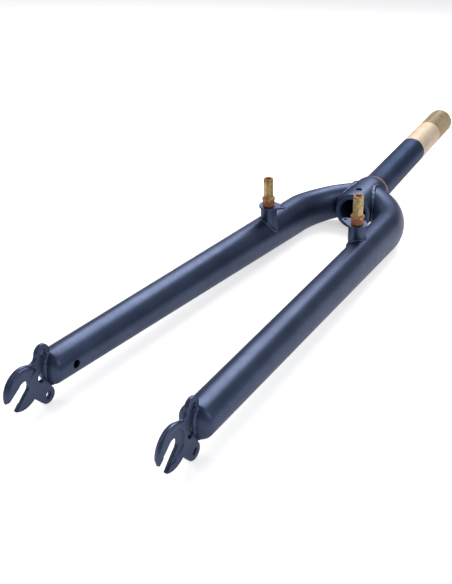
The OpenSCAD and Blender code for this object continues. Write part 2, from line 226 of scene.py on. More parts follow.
def dress(piece, finish, nodes, crease=40):
    """Gives a piece its finish and shading, and puts it on the fork's body."""
    piece.data.materials.clear()
    piece.data.materials.append(finish)
    piece.data.shade_smooth()
    piece.data.set_sharp_from_angle(angle=math.radians(crease))
    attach(piece, "root")
    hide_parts(*nodes)
    return piece


def cut_out(piece, cutter):
    """Takes the cutter's solid out of the piece and removes the cutter."""
    knife = piece.modifiers.new("cut", "BOOLEAN")
    knife.operation = "DIFFERENCE"
    knife.solver = "EXACT"
    knife.object = cutter
    bpy.context.view_layer.update()
    view = bpy.context.evaluated_depsgraph_get()
    cut = bpy.data.meshes.new_from_object(piece.evaluated_get(view))
    piece.modifiers.remove(knife)
    old, piece.data = piece.data, cut
    cut.name = piece.name
    bpy.data.meshes.remove(old)
    bpy.data.objects.remove(cutter)


def rod(foot, axis, length, radius, sides=48):
    """Plain solid rod from foot along axis, only used to drill holes."""
    axis = np.array(axis, float)
    side = np.cross(axis, [0.3, 0.2, 0.9])
    side /= np.linalg.norm(side)
    other = np.cross(axis, side)
    turn = np.arange(sides) * TURN / sides
    circle = radius * (np.cos(turn)[:, None] * side + np.sin(turn)[:, None] * other)
    ends = np.concatenate([foot + circle, foot + circle + axis * length])
    faces = grid_faces(2, sides) + [list(range(sides))[::-1], list(range(sides, 2 * sides))]
    drill = raw_piece("drill", ends, faces)
    face_outwards(drill)
    return drill


def lathe(profile, sides):
    """Closed profile of (radius, height) turned about the height axis."""
    profile = np.asarray(profile, float)
    turn = np.arange(sides) * TURN / sides
    r, h = profile[:, :1], profile[:, 1:]
    points = np.stack([r * np.cos(turn), h + 0 * turn, r * -np.sin(turn)], -1)
    return points, grid_faces(len(profile), sides, loop=True)


def rounded(corners, radius, steps=5):
    """Closed profile whose corners are softened by quadratic curves that start the given distance away."""
    corners = np.asarray(corners, float)
    radii = np.broadcast_to(radius, len(corners))
    out = []
    for i, (here, r) in enumerate(zip(corners, radii)):
        a, b = corners[i - 1] - here, corners[(i + 1) % len(corners)] - here
        a, b = a / np.linalg.norm(a), b / np.linalg.norm(b)
        t = np.linspace(0, 1, steps)[:, None]
        start, end = here + a * r, here + b * r
        out.append((1 - t) ** 2 * start + 2 * t * (1 - t) * here + t ** 2 * end)
    return np.concatenate(out)


# The blade's oval tube along its bent axis, as functions of the height y

def bend_share(y):
    """Share of the bend below y."""
    return np.maximum(0, (y - BEND_Y) / BEND_H)


def slope_share(y):
    """Share of the stretch below y in which the forward slope runs out."""
    return np.minimum(1, bend_share(y) / SLOPE_RUN)


def lean(y):
    """Angle of the axis from the steerer's, seen from the front."""
    bent = np.arcsin(np.minimum(0.99, math.sin(LEAN) + np.maximum(0, y - BEND_Y) / BEND_R))
    return np.where(y < BEND_Y, LEAN, bent)


def axis_point(y):
    """The axis: a straight line, then an arc in x, with the slope in z easing out."""
    x = np.where(y < BEND_Y, BEND_X - (y - BEND_Y) * math.tan(LEAN),
                 BEND_X - BEND_R * (math.cos(LEAN) - np.cos(lean(y))))
    s = slope_share(y)
    z = np.where(y < BEND_Y, BEND_Z - SLOPE * (y - BEND_Y),
                 BEND_Z - SLOPE * BEND_H * SLOPE_RUN * (s - s ** 3 / 3))
    return np.stack([x, y + 0 * x, z], -1)


def half_sizes(y):
    """Half the width and half the depth of the tube, straight tapers."""
    s = np.clip((y - BLADE_END[1]) / STRAIGHT, 0, 1)
    b = bend_share(y)
    w = TIP_R + (BEND_HALF_W - TIP_R) * s + (CROWN_HALF_W - BEND_HALF_W) * b
    d = TIP_R + (BEND_HALF_DEPTH - TIP_R) * s + (CROWN_HALF_DEPTH - BEND_HALF_DEPTH) * b
    return w, d


def blade_point(y, turn, inset=0.0, scale=1.0):
    """Point of the oval at height y: axis + side * cos + front * sin."""
    y, turn = np.broadcast_arrays(np.asarray(y, float), np.asarray(turn, float))
    tilt = SLOPE * (1 - slope_share(y) ** 2)
    along = np.stack([-np.tan(lean(y)), np.ones_like(y), -tilt], -1)
    along /= np.linalg.norm(along, axis=-1, keepdims=True)
    side = np.stack([np.cos(lean(y)), np.sin(lean(y)), np.zeros_like(y)], -1)
    front = np.cross(side, along)
    w, d = half_sizes(y)
    w, d = (w - inset) * scale, (d - inset) * scale
    return axis_point(y) + side * (w * np.cos(turn))[..., None] + front * (d * np.sin(turn))[..., None]


def seam_height(turn, radius, inset=0.0):
    """Height at which the blade's skin at this turn comes within radius of the steerer's axis."""
    low = np.full_like(turn, BEND_Y)
    high = np.full_like(turn, BEND_Y + BEND_H)
    for _ in range(24):
        mid = (low + high) / 2
        p = blade_point(mid, turn, inset)
        outside = (np.hypot(p[:, 0], p[:, 2]) > radius) & (p[:, 0] > 0)
        low, high = np.where(outside, mid, low), np.where(outside, high, mid)
    return (low + high) / 2


def tube_rows(inset, radius, rows, sides, dome):
    """Rows of a blade's skin from its closed end to its mitre at the sleeve."""
    turn = np.arange(sides) * TURN / sides
    top = np.minimum(seam_height(turn, radius, inset), -1.2)
    q = np.sin(np.linspace(math.pi / 2, 0, 10, endpoint=False))[:, None] * 0.995
    ends = blade_point(BLADE_END[1] + inset * 2 - dome * q, turn[None, :], inset, np.sqrt(1 - q * q))
    bottom = BLADE_END[1] + inset * 2
    v = np.linspace(0, 1, rows // 2)[:, None]
    straight = bottom + (BEND_Y - bottom) * v + 0 * turn
    angle = LEAN + (lean(top)[None, :] - LEAN) * v[1:]
    bent = BEND_Y + BEND_R * (np.sin(angle) - math.sin(LEAN))
    body = blade_point(np.concatenate([straight, bent]), turn[None, :], inset)
    mitre = body[-1]
    middle = mitre.mean(0)
    caps = []
    for k in (0.66, 0.33):
        row = middle + (mitre - middle) * k
        reach = np.hypot(row[:, 0], row[:, 2])[:, None]
        row[:, [0, 2]] *= np.hypot(mitre[:, 0], mitre[:, 2])[:, None] / reach
        caps.append(row)
    return np.concatenate([ends, body, np.array(caps)])


def closed_skin(rows, first=0):
    """Faces of rows of rings, closed by a fan at each end; returns points and faces."""
    n = rows.shape[1]
    count = rows.shape[0] * n
    points = np.concatenate([rows.reshape(-1, 3), rows[0].mean(0)[None], rows[-1].mean(0)[None]])
    faces = grid_faces(rows.shape[0], n, first=first)
    faces += fan_faces(range(first, first + n), first + count, flip=True)
    faces += fan_faces(range(first + count - n, first + count), first + count + 1)
    return points, faces


def blade(name, mirror):
    """Hollow tube: an outer and an inner skin, with the vent hole drilled through one wall."""
    outer, faces = closed_skin(tube_rows(0.0, SLEEVE_R - 1.0, 150, 72, DOME))
    inner, more = closed_skin(tube_rows(WALL, SLEEVE_R - 1.0, 60, 40, DOME / 2), first=len(outer))
    more = [face[::-1] for face in more]
    if mirror:
        faces, more = [f[::-1] for f in faces], [f[::-1] for f in more]
    piece = raw_piece(name, np.concatenate([outer, inner]), faces + more, mirror)
    way = -1 if mirror else 1
    spot = axis_point(np.array(VENT_UP - AXLE_DOWN)) * [way, 1, 1]
    cut_out(piece, rod(spot, [-way, 0, 0], TIP_R * 1.4, VENT_R))
    return dress(piece, finishes["paint"], [name.replace("_skin", "")])


def sweep(path, radius, sides, closed=True):
    """Tube carried along a path: round sections across the path's direction."""
    path = np.asarray(path, float)
    ahead = np.roll(path, -1, 0) - np.roll(path, 1, 0)
    if not closed:
        ahead = np.gradient(path, axis=0)
    ahead /= np.linalg.norm(ahead, axis=1, keepdims=True)
    out = path - path.mean(0)
    out -= ahead * (out * ahead).sum(1, keepdims=True)
    out /= np.linalg.norm(out, axis=1, keepdims=True)
    other = np.cross(ahead, out)
    turn = np.arange(sides) * TURN / sides
    r = np.asarray(radius, float)
    r = r[:, None] if r.ndim == 1 else r
    ring = out[:, None] * np.cos(turn)[None, :, None] + other[:, None] * np.sin(turn)[None, :, None]
    return path[:, None] + ring * r[..., None]


def ripple(count, lumps, seed, amount):
    """Uneven pulses of a weld bead along its length, from a few seeded waves."""
    rng = np.random.default_rng(seed)
    s = np.arange(count) / count
    wave = np.abs(np.sin(math.pi * lumps * s + 0.6 * np.sin(TURN * 3 * s + rng.uniform(0, TURN))))
    slow = sum(rng.normal(0, 0.35) * np.sin(TURN * k * s + rng.uniform(0, TURN)) for k in (1, 2, 5, 9))
    return 1 + amount * (wave - 0.6) + amount * 0.8 * slow


def crown_weld(name, mirror):
    """Bead along the seam of blade and sleeve: a rippled tube along the mitre, sunk in both."""
    count = 220
    turn = np.arange(count) * TURN / count
    y = np.minimum(seam_height(turn, SLEEVE_R), -2.4)
    path = blade_point(y, turn)
    path[:, 1] = np.minimum(path[:, 1], -2.3)
    for _ in range(6):
        path = (np.roll(path, 1, 0) + 2 * path + np.roll(path, -1, 0)) / 4
    out = path - path.mean(0)
    path = path - CROWN_BEAD_SINK * out / np.linalg.norm(out, axis=1, keepdims=True)
    rows = sweep(path, CROWN_BEAD_R * ripple(count, 22, 5 if mirror else 9, 0.06), 16)
    points, faces = rows, grid_faces(count, 16, loop=True)
    return mesh_piece(name, points, faces, finishes["paint"],
                      [name.replace("_bead", "")], mirror, crease=80)


def boss_seam(turn, reach):
    """Ring on the blade's front skin at this reach round the boss's axis."""
    x = BOSS[0] + reach * np.cos(turn)
    y = BOSS[1] + reach * np.sin(turn)
    mid = axis_point(y)
    w, d = half_sizes(y)
    share = np.clip((x - mid[:, 0]) / w, -0.98, 0.98)
    return np.stack([x, y, mid[:, 2] + d * np.sqrt(1 - share ** 2)], -1)


def boss_weld(name, mirror):
    """Bead round the foot of a brake boss."""
    count = 110
    turn = np.arange(count) * TURN / count
    path = boss_seam(turn, BOSS_R - BOSS_BEAD_SINK) - [0, 0, BOSS_BEAD_SINK]
    rows = sweep(path, BOSS_BEAD_R * ripple(count, 13, 3 if mirror else 4, 0.08), 12)
    return mesh_piece(name, rows, grid_faces(count, 12, loop=True), finishes["paint"],
                      [name.replace("_bead", "")], mirror, crease=80)


def dropout_weld(name, mirror):
    """Beads on both faces of the dropout plate where the blade's dome meets it."""
    count = 90
    share = np.sin(np.linspace(-1, 1, count) * math.pi / 2) * 0.97
    points, faces = [], []
    for face in (-1, 1):
        z = share * TIP_R
        q = np.sqrt(np.maximum(0, 1 - (z ** 2 + PLATE_T ** 2 / 4) / TIP_R ** 2))
        y = BLADE_END[1] - DOME * q
        mid = axis_point(y)
        path = np.stack([BLADE_END[0] + face * PLATE_T / 2 + 0 * y, y, mid[:, 2] + z], -1)
        fade = np.clip((1 - np.abs(share)) * 14, 0.05, 1) ** 0.5
        r = DROPOUT_BEAD_R * ripple(count, 9, 11 + face + (5 if mirror else 0), 0.10) * fade
        path += DROPOUT_BEAD_SHIFT * [face, 1, 1]
        rows = sweep(path, r, 12, closed=False)
        more, ends = closed_skin(rows, first=sum(len(p) for p in points))
        points.append(more)
        faces += ends
    return mesh_piece(name, np.concatenate(points), faces, finishes["paint"],
                      [name.replace("_bead", "")], mirror, crease=80)


def arc(centre, radius, start, end, steps=40):
    """Points of an arc from one angle to another, both in radians from u towards v."""
    a = np.linspace(start, end, steps)[:, None]
    return centre + radius * np.concatenate([np.cos(a), np.sin(a)], 1)


def angle_of(point, centre):
    """Angle of a point seen from a centre."""
    return math.atan2(point[1] - centre[1], point[0] - centre[0])


def meet(start, way, centre, radius, far=True):
    """Where a line from start along way crosses a circle."""
    way = way / np.linalg.norm(way)
    off = start - centre
    half = off @ way
    root = math.sqrt(half * half - off @ off + radius * radius)
    return start + way * (-half + (root if far else -root))


def dropout_loop(spacing=0.5):
    """Closed outline of the plate, slot included, evenly spaced with slightly eased corners.

    Arcs of the hook, the hollow, both eyelets and the axle's seat, joined by straight lines.
    Returns the points and each point's edge radius.
    """
    way = np.array([math.cos(SLOT_TURN), math.sin(SLOT_TURN)])
    side = np.array([-way[1], way[0]])
    widen = (MOUTH_HALF - AXLE_SEAT_R + SLOT_STEP) / (2 * HOOK_R)
    rear_from, front_from = side * (AXLE_SEAT_R - SLOT_STEP), -side * (AXLE_SEAT_R - SLOT_STEP)
    rear_way, front_way = way + side * widen, way - side * widen
    rear_lip = meet(rear_from, rear_way, HOOK_AT, HOOK_R)
    front_lip = meet(front_from, front_way, HOOK_AT, HOOK_R)
    seat_rear = meet(rear_from, rear_way, np.zeros(2), AXLE_SEAT_R)
    seat_front = meet(front_from, front_way, np.zeros(2), AXLE_SEAT_R)
    a, b = HOOK_R + HOLLOW_R, EYELET_R + HOLLOW_R
    gap = EYELET_FRONT - HOOK_AT
    span_to = np.linalg.norm(gap)
    along = (a * a - b * b + span_to ** 2) / (2 * span_to)
    across = np.array([-gap[1], gap[0]]) / span_to
    hollow = HOOK_AT + gap / span_to * along + across * math.sqrt(a * a - along * along)
    tilt = math.atan(SLOPE)
    tab_way = np.array([math.cos(tilt), -math.sin(tilt)])
    tab_side = np.array([math.sin(tilt), math.cos(tilt)])
    root = np.array([BLADE_END_UP, -BLADE_END_BACK])
    neck_front, neck_back = root + tab_side * NECK_HALF, root - tab_side * NECK_HALF
    leave = meet(neck_front, -tab_way, EYELET_FRONT, EYELET_R, far=False)
    arrive = meet(neck_back, EYELET_BACK - neck_back, EYELET_BACK, EYELET_R, far=False)
    to = EYELET_BACK - NOTCH
    reach = math.atan2(to[1], to[0]) - math.asin(EYELET_R / np.linalg.norm(to))
    touch = NOTCH + math.sqrt(to @ to - EYELET_R ** 2) * np.array([math.cos(reach), math.sin(reach)])
    notch = meet(touch, NOTCH - touch, HOOK_AT, HOOK_R, far=False)
    tab_end = root + tab_way * TAB

    def round_by(centre, radius, start, end, steps=40, wrap=(TURN, TURN)):
        """Arc from the side of one point to that of another; wrap brings an angle into 0..TURN, 0 leaves it."""
        a, b = angle_of(start, centre), angle_of(end, centre)
        return arc(centre, radius, a % wrap[0] if wrap[0] else a, b % wrap[1] if wrap[1] else b, steps)

    runs = [
        (round_by(HOOK_AT, HOOK_R, front_lip, hollow, wrap=(TURN, 0)), FRONT_EDGE),
        (round_by(hollow, HOLLOW_R, HOOK_AT, EYELET_FRONT, 14), HOLLOW_EDGE),
        (round_by(EYELET_FRONT, EYELET_R, hollow, leave, wrap=(0, 0)), BACK_EDGE),
        (np.array([tab_end + tab_side * NECK_HALF, tab_end - tab_side * NECK_HALF, neck_back]), TAB_EDGE),
        (round_by(EYELET_BACK, EYELET_R, arrive, touch, wrap=(0, 0)), BACK_EDGE),
        (round_by(HOOK_AT, HOOK_R, notch, rear_lip), BACK_EDGE),
        (arc(np.zeros(2), AXLE_SEAT_R, angle_of(seat_rear, (0, 0)) % TURN - TURN,
             angle_of(seat_front, (0, 0)) % TURN), SLOT_EDGE)]
    corners = np.concatenate([points for points, _ in runs])
    radii = np.concatenate([np.full(len(points), radius) for points, radius in runs])
    ring = np.concatenate([corners, corners[:1]])
    steps = np.concatenate([[0], np.cumsum(np.linalg.norm(np.diff(ring, axis=0), axis=1))])
    even = np.arange(0, steps[-1], spacing)
    loop = np.stack([np.interp(even, steps, ring[:, k]) for k in (0, 1)], -1)
    edge = np.interp(even, steps, np.append(radii, radii[0]))
    for _ in range(3):
        loop = (np.roll(loop, 1, 0) + 2 * loop + np.roll(loop, -1, 0)) / 4
        edge = (np.roll(edge, 1) + 2 * edge + np.roll(edge, -1)) / 4
    return loop, edge


def loop_distance(points, loop, edge):
    """Distance of each point from a closed loop, and the edge radius at its nearest place."""
    step = np.roll(loop, -1, 0) - loop
    off = points[:, None] - loop[None]
    t = np.clip((off * step).sum(-1) / (step * step).sum(-1), 0, 1)
    away = np.linalg.norm(off - t[..., None] * step, axis=-1)
    near = away.argmin(1)
    rows = np.arange(len(points))
    share = t[rows, near]
    return away[rows, near], edge[near] * (1 - share) + np.roll(edge, -1)[near] * share


def inside_loop(points, loop):
    """Whether each point lies inside a closed loop, by counting crossings."""
    a, b = loop, np.roll(loop, -1, 0)
    x, y = points[:, :1], points[:, 1:]
    crosses = (a[:, 1] > y) != (b[:, 1] > y)
    rise = np.where(b[:, 1] == a[:, 1], 1, b[:, 1] - a[:, 1])
    return ((x < (b[:, 0] - a[:, 0]) * (y - a[:, 1]) / rise + a[:, 0]) & crosses).sum(1) % 2 == 1


def ease(value, low, high):
    """Smooth step from 0 to 1 between two values."""
    t = np.clip((value - low) / (high - low), 0, 1)
    return t * t * (3 - 2 * t)


def dropout(name, mirror):
    """Forged plate: rounded edges, a round pad inside, a recess outside and three drilled holes.

    Heights of both faces are functions of u and v over one triangulated outline.
    """
    loop, edge = dropout_loop()
    holes = [(EYELET_FRONT, EYELET_HOLE_R, EYELET_SINK), (EYELET_BACK, EYELET_HOLE_R, EYELET_SINK),
             (LIGHT_HOLE, LIGHT_HOLE_R, LIGHT_HOLE_SINK)]
    rims = [arc(at, radius, 0, TURN, 37)[:-1] for at, radius, _ in holes]
    ahead = np.roll(loop, -1, 0) - np.roll(loop, 1, 0)
    inward = np.stack([-ahead[:, 1], ahead[:, 0]], -1) / np.linalg.norm(ahead, axis=1, keepdims=True)
    if not inside_loop(loop[:1] + 0.05 * inward[:1], loop)[0]:
        inward = -inward
    free = []
    for theta in (0.35, 0.65, 0.95, 1.25, math.pi / 2):
        depth = edge[:, None] * (1 - math.cos(theta))
        ring = loop + inward * depth
        away, _ = loop_distance(ring, loop, edge)
        free.append(ring[(away > 0.93 * depth[:, 0]) & inside_loop(ring, loop)])
    for at, radius, sink in holes:
        free += [arc(at, radius + sink * k, 0, TURN, 37)[:-1] for k in (0.5, 1.0, 1.6)]
    free += [arc(np.zeros(2), RECESS_R + k, 0, TURN, 90) for k in (-0.3, -0.1, 0.1, 0.3)]
    free += [arc(HOOK_AT, PAD_R - k, 0, TURN, 90) for k in (0.0, 0.25, 0.6, 1.0, 1.5)]
    u, v = np.meshgrid(np.arange(-16, 34, 0.9), np.arange(-26, 20, 0.9))
    free.append(np.stack([u.ravel(), v.ravel()], -1))
    free = np.concatenate(free)
    away, _ = loop_distance(free, loop, edge)
    clear = inside_loop(free, loop) & (away > 0.04)
    for at, radius, _ in holes:
        clear &= np.linalg.norm(free - at, axis=1) > radius + 0.1
    flat = np.concatenate([loop, *rims, free[clear]])
    fences, start = [], 0
    for ring in (loop, *rims):
        n = len(ring)
        fences += [(start + i, start + (i + 1) % n) for i in range(n)]
        start += n
    out = delaunay_2d_cdt([tuple(p) for p in flat], fences, [], 0, 1e-5)
    flat = np.array([tuple(p) for p in out[0]])
    tris = np.array(out[2])
    middle = flat[tris].mean(1)
    keep = inside_loop(middle, loop)
    for at, radius, _ in holes:
        keep &= np.linalg.norm(middle - at, axis=1) > radius * 0.99
    tris = tris[keep]
    away, radius = loop_distance(flat, loop, edge)
    gap = np.clip(radius - away, 0, radius)
    drop = radius - np.sqrt(radius ** 2 - gap ** 2)
    sink = np.zeros(len(flat))
    for at, hole_r, depth in holes:
        sink = np.maximum(sink, np.clip(hole_r + depth - np.linalg.norm(flat - at, axis=1), 0, depth))
    from_hook = np.linalg.norm(flat - HOOK_AT, axis=1)
    across = flat @ np.array([math.sin(SLOT_TURN), -math.cos(SLOT_TURN)])
    rise = np.clip((PAD_R - from_hook) / 1.5, 0, 1)
    pad = PAD_H * np.sqrt(1 - (1 - rise) ** 2) * ease(across, -3.0, 1.5)
    recess = RECESS * ease(np.linalg.norm(flat, axis=1), RECESS_R + 0.25, RECESS_R - 0.25)
    inner = -pad + np.maximum(drop, sink)
    outer = PLATE_T - recess - np.maximum(drop * ease(recess, RECESS, 0), sink)
    faces = [tuple(t) for t in tris] + [tuple(t[::-1] + len(flat)) for t in tris]
    edges = np.concatenate([tris[:, [0, 1]], tris[:, [1, 2]], tris[:, [2, 0]]])
    key = edges.min(1) * len(flat) + edges.max(1)
    _, first, count = np.unique(key, return_index=True, return_counts=True)
    rim = edges[first[count == 1]]
    faces += [(b, a, a + len(flat), b + len(flat)) for a, b in rim]
    x = np.concatenate([inner, outer]) + HUB_HALF + PAD_H
    y = np.tile(flat[:, 0], 2) - AXLE_DOWN
    z = np.tile(flat[:, 1], 2) + RAKE
    return mesh_piece(name, np.stack([x, y, z], -1), faces, finishes["paint"],
                      [name.replace("_forged", "")], mirror, crease=50)


def steerer():
    """Turned tube: bore, foot and rim from a rounded profile, with a helical thread on top."""
    sides = 96
    plain = np.array([[BORE_R, STEERER_TOP - 0.3], [BORE_R, -SLEEVE_LEN + 0.4],
                      [BORE_R + 0.4, -SLEEVE_LEN], [STEERER_FOOT_R - 0.4, -SLEEVE_LEN],
                      [STEERER_FOOT_R, -SLEEVE_LEN + 0.4], [STEERER_FOOT_R, SEAT_H],
                      [STEERER_R, SEAT_H + FOOT_TAPER_H], [STEERER_R, PAINT_TO / 2],
                      [STEERER_R, PAINT_TO], [STEERER_R, THREAD_FROM - 1.5]])
    h = np.arange(THREAD_FROM - 1.2, STEERER_TOP - 0.7, THREAD_PITCH / 6)
    turn = np.arange(sides) * TURN / sides
    phase = (h[:, None] / THREAD_PITCH - turn[None, :] / TURN) % 1
    groove = THREAD_DEPTH * np.abs(2 * phase - 1) ** 1.3
    run_in, run_out = (h - THREAD_FROM + 1.2) / 2, (STEERER_TOP - 0.7 - h) / 0.8
    fade = (np.clip(run_in, 0, 1) * np.clip(run_out, 0, 1))[:, None]
    r = STEERER_R - groove * fade
    keyway = np.abs(((turn - TURN / 4 + math.pi) % TURN) - math.pi) * STEERER_R < KEYWAY_HALF
    r = np.where(keyway[None, :], np.minimum(r, STEERER_R - KEYWAY_DEPTH), r)
    thread = np.stack([r * np.cos(turn), h[:, None] + 0 * turn, -r * np.sin(turn)], -1)
    low, _ = lathe(plain, sides)
    rim, _ = lathe([[STEERER_R - 0.6, STEERER_TOP - 0.3], [STEERER_R - 0.9, STEERER_TOP],
                    [BORE_R + 0.3, STEERER_TOP]], sides)
    rows = np.concatenate([low, thread, rim])
    piece = raw_piece("steerer_body", rows, grid_faces(len(rows), sides, loop=True))
    face_outwards(piece)
    cut_out(piece, crown_drill())
    return dress(piece, finishes["steerer"], ["steerer_tube"], 50)


def crown_drill():
    """Rod that drills the hole through sleeve and steerer, back to front."""
    return rod([0, -CROWN_HOLE_DOWN, -30], [0, 0, 1], 60, CROWN_HOLE_R)


def sleeve():
    """Turned crown sleeve with softened corners, its race seat and the hole through it."""
    corners = [[STEERER_FOOT_R, -SLEEVE_LEN], [SLEEVE_R, -SLEEVE_LEN], [SLEEVE_R, -SHOULDER_H],
               [SHOULDER_R, 0], [SEAT_R, 0], [SEAT_R, SEAT_H], [STEERER_FOOT_R, SEAT_H]]
    profile = rounded(corners, [0.05, 1.6, 3.0, 0.7, 0.2, 0.2, 0.05])
    points, faces = lathe(profile, 128)
    piece = raw_piece("crown_sleeve_body", points, faces)
    face_outwards(piece)
    cut_out(piece, crown_drill())
    return dress(piece, finishes["crown"], ["crown_sleeve"], 50)


def stand(points, foot):
    """Turns lathe points, whose axis is y, to stand along z on a foot."""
    p = np.asarray(points, float)
    return np.stack([p[..., 0], -p[..., 2], p[..., 1]], -1) + foot


def brake_stud(name, mirror):
    """Turned stud: hexagonal foot, flange, pivot with a groove, blind hole."""
    top = FOOT_H + FLANGE_T + BEVEL_H + PIVOT_LEN
    corners = [[0.02, -6], [4, -6], [4, 0], [FOOT_R, 0], [FOOT_R, FOOT_H], [FLANGE_R, FOOT_H],
               [FLANGE_R, FOOT_H + FLANGE_T], [PIVOT_R, top - PIVOT_LEN], [PIVOT_R, top - 3.4],
               [PIVOT_R - 0.4, top - 3.0], [PIVOT_R, top - 2.6], [PIVOT_R, top],
               [STUD_HOLE_R, top], [STUD_HOLE_R, top - 12], [0.02, top - 13]]
    soft = [0.01, 0.1, 0.1, 0.2, 0.15, 0.4, 0.4, 0.3, 0.15, 0.15, 0.15, 0.45, 0.35, 0.2, 0.01]
    points, faces = lathe(rounded(corners, soft, 4), 60)
    turn = np.arange(60) * TURN / 60
    h = points[..., 1]
    foot = (h > 0.1) & (h < FOOT_H - 0.05)
    flats = np.cos(math.pi / 6) / np.cos((turn + math.pi / 6) % (TURN / 6) - math.pi / 6)
    squeeze = np.where(foot, np.maximum(0.9, np.minimum(1, flats * 1.07)), 1.0)
    points[..., 0] *= squeeze
    points[..., 2] *= squeeze
    return mesh_piece(name, stand(points, BOSS), faces, finishes["stud"],
                      [name.replace("_turned", "")], mirror, crease=35)


def brake_boss(name, mirror):
    """Barrel that runs into the blade, and a plate with an ear and its spring hole."""
    turn = np.arange(96) * TURN / 96
    foot = boss_seam(turn, BOSS_R - 0.3)
    foot[:, 2] -= 3
    ring = np.stack([BOSS[0] + BOSS_R * np.cos(turn), BOSS[1] + BOSS_R * np.sin(turn), 0 * turn], -1)
    heights = [BOSS[2] - 12, BOSS[2] - 6, BOSS[2] - SPRING_PLATE_T - 0.2]
    rows = [foot] + [ring + [0, 0, h] for h in heights]
    plate = plate_outline(96)
    low, high = BOSS[2] - SPRING_PLATE_T, BOSS[2]
    for inset, h in ((0.9, low), (0.35, low), (0.1, low + 0.12), (0.0, low + 0.4), (0.0, high - 0.5),
                     (0.12, high - 0.15), (0.45, high), (1.2, high)):
        rows.append(plate_ring(plate, inset, h))
    points, faces = closed_skin(np.array(rows))
    piece = raw_piece(name, points, faces, mirror)
    face_outwards(piece)
    way = -1 if mirror else 1
    hole = BOSS + SPRING_HOLE_OUT * np.array([-math.cos(SPRING_HOLE_TURN), math.sin(SPRING_HOLE_TURN), 0])
    cut_out(piece, rod(hole * [way, 1, 1] - [0, 0, 6], [0, 0, 1], 12, SPRING_HOLE_R))
    return dress(piece, finishes["paint"], [name.replace("_forged", "")])


def plate_outline(count):
    """Outline of a disc with an ear: the furthest reach of either in each direction."""
    turn = np.arange(count) * TURN / count
    ear = np.array([-math.cos(SPRING_HOLE_TURN), math.sin(SPRING_HOLE_TURN)]) * SPRING_HOLE_OUT
    ear_r = SPRING_HOLE_R + 1.8
    many = np.linspace(0, 1, 200)[:, None]
    centres = many * ear
    radii = SPRING_PLATE_R + (ear_r - SPRING_PLATE_R) * many[:, 0]
    way = np.stack([np.cos(turn), np.sin(turn)], -1)
    along = way @ centres.T
    gap = (centres ** 2).sum(1)[None, :] - along ** 2
    reach = along + np.sqrt(np.maximum(0, radii[None, :] ** 2 - gap))
    return way * np.where(gap < radii ** 2, reach, 0).max(1)[:, None]


def plate_ring(outline, inset, height):
    """The plate's outline drawn in by inset at one height."""
    size = np.linalg.norm(outline, axis=1, keepdims=True)
    ring = outline * (1 - inset / size) + BOSS[:2]
    return np.concatenate([ring, np.full((len(ring), 1), height)], 1)


# Finishes

def new_finish(name):
    """Empty node material with its principled shader."""
    finish = bpy.data.materials.new(name)
    finish.use_nodes = True
    return finish, finish.node_tree.nodes, finish.node_tree.links, finish.node_tree.nodes["Principled BSDF"]


def place(nodes, links):
    """Fork directions from Object coordinates, in metres: y is the height up the steerer."""
    where = nodes.new("ShaderNodeTexCoord")
    turn = nodes.new("ShaderNodeMapping")
    turn.inputs["Rotation"].default_value[0] = -math.atan2(UP[2], UP[1])
    links.new(where.outputs["Object"], turn.inputs["Vector"])
    return turn.outputs["Vector"]


def noise(nodes, links, where, scale, detail=3.0, rough=0.55):
    """Noise texture of the given scale at a place."""
    tex = nodes.new("ShaderNodeTexNoise")
    tex.inputs["Scale"].default_value = scale
    tex.inputs["Detail"].default_value = detail
    tex.inputs["Roughness"].default_value = rough
    links.new(where, tex.inputs["Vector"])
    return tex.outputs["Fac"]


def ramp(nodes, links, value, stops):
    """Colour ramp through (place, colour) stops."""
    node = nodes.new("ShaderNodeValToRGB")
    element = node.color_ramp.elements
    while len(element) < len(stops):
        element.new(0.5)
    for spot, (at, colour) in zip(element, stops):
        spot.position = at
        spot.color = (*colour, 1)
    links.new(value, node.inputs["Fac"])
    return node.outputs["Color"]


def span(nodes, links, value, low, high, to_low=0.0, to_high=1.0):
    """Straight map of a value from one span to another, clamped."""
    node = nodes.new("ShaderNodeMapRange")
    for socket, number in zip(("From Min", "From Max", "To Min", "To Max"), (low, high, to_low, to_high)):
        node.inputs[socket].default_value = number
    links.new(value, node.inputs["Value"])
    return node.outputs["Result"]


def blend_colours(nodes, links, share, first, second):
    """Mix of two colours, each a socket or a plain colour."""
    node = nodes.new("ShaderNodeMix")
    node.data_type = "RGBA"
    links.new(share, node.inputs["Factor"])
    for socket, colour in ((node.inputs["A"], first), (node.inputs["B"], second)):
        if isinstance(colour, tuple):
            socket.default_value = (*colour, 1)
        else:
            links.new(colour, socket)
    return node.outputs["Result"]


def sums(nodes, links, operation, first, second):
    """One step of arithmetic on sockets or numbers."""
    node = nodes.new("ShaderNodeMath")
    node.operation = operation
    for socket, value in zip(node.inputs, (first, second)):
        if isinstance(value, (int, float)):
            socket.default_value = value
        else:
            links.new(value, socket)
    return node.outputs[0]


def relief(nodes, links, height, strength, distance, shader):
    """Bump from a height."""
    bump = nodes.new("ShaderNodeBump")
    bump.inputs["Strength"].default_value = strength
    bump.inputs["Distance"].default_value = distance
    links.new(height, bump.inputs["Height"])
    links.new(bump.outputs["Normal"], shader.inputs["Normal"])


PAINT_DARK = (0.023, 0.036, 0.080)
PAINT_LIGHT = (0.037, 0.054, 0.106)
RUST = (0.42, 0.16, 0.055)
RUST_DARK = (0.20, 0.075, 0.03)


def paint_colour(nodes, links, where):
    """Dark blue with faint clouds and metal flakes."""
    cloud = noise(nodes, links, where, 45, 4)
    flake = noise(nodes, links, where, 2600, 2, 0.8)
    base = blend_colours(nodes, links, span(nodes, links, cloud, 0.3, 0.7), PAINT_DARK, PAINT_LIGHT)
    sparkle = span(nodes, links, flake, 0.55, 0.8, 0.0, 0.30)
    return blend_colours(nodes, links, sparkle, base, (0.18, 0.23, 0.32))


